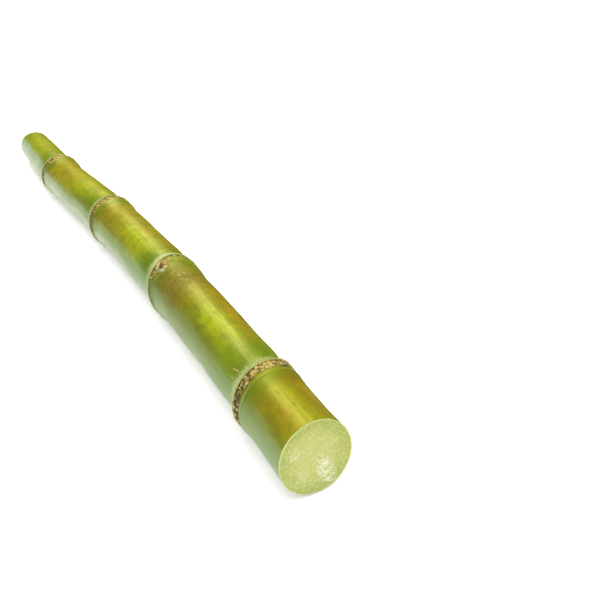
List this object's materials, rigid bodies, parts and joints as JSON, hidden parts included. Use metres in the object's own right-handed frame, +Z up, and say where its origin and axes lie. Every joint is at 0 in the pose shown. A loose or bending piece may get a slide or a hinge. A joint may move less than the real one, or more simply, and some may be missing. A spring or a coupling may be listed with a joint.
{
  "type": "sugar cane stalk",
  "caption": "Cut length of fresh sugar cane lying on its side: a slightly bowed green stalk with swollen nodes, leaf scars and plain saw-cut ends.",
  "frame": {"origin": "centre of the underside of the bounding box, on the surface that the stalk lies on", "axes": "+X along the stalk in its direction of growth, from the root-end cut to the tip-end cut, +Z up, +Y towards the outside of the stalk's bow"},
  "size_m": [0.53, 0.044, 0.0376],
  "materials": {
    "cane_rind": "smooth waxy rind, yellow-green with golden-brown streaks and fine lengthwise fibres",
    "cut_face": "freshly sawn pith, pale green-cream with fine paler fibre ends, moist",
    "sheath_scar": "dry torn leaf-sheath fibres, straw to brown, matt"
  },
  "bodies": {
    "root": {"cane_stalk": "cane_rind"}
  },
  "joints": []
}
